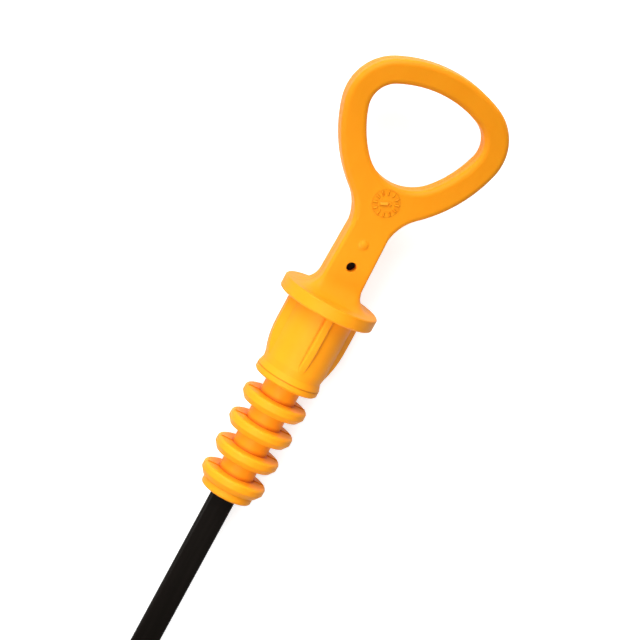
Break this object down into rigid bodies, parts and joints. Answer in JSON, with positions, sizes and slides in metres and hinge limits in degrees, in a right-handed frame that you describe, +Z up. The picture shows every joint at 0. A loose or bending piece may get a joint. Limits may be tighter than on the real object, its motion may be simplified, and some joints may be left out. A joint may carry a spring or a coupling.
{
  "type": "engine oil dipstick",
  "caption": "Engine oil dipstick: plastic handle with a finger loop, seating flange, ribbed plug and sealing fins, moulded onto a long flat blade with level marks at its tip.",
  "frame": {"origin": "centre of the flange's underside, which seats on the mouth of the guide tube", "axes": "+X towards the finger loop, along the part's length; +Z up, out of the loop's flat side; the part lies as it rests on a table, so its own axis dips 1.89 degrees from the loop to the blade's tip"},
  "size_m": [0.4201, 0.0426, 0.0251],
  "materials": {
    "orange_plastic": "satin moulded plastic",
    "black_steel": "satin black coating"
  },
  "bodies": {
    "root": {"handle": "orange_plastic", "blade": "black_steel"}
  },
  "joints": []
}
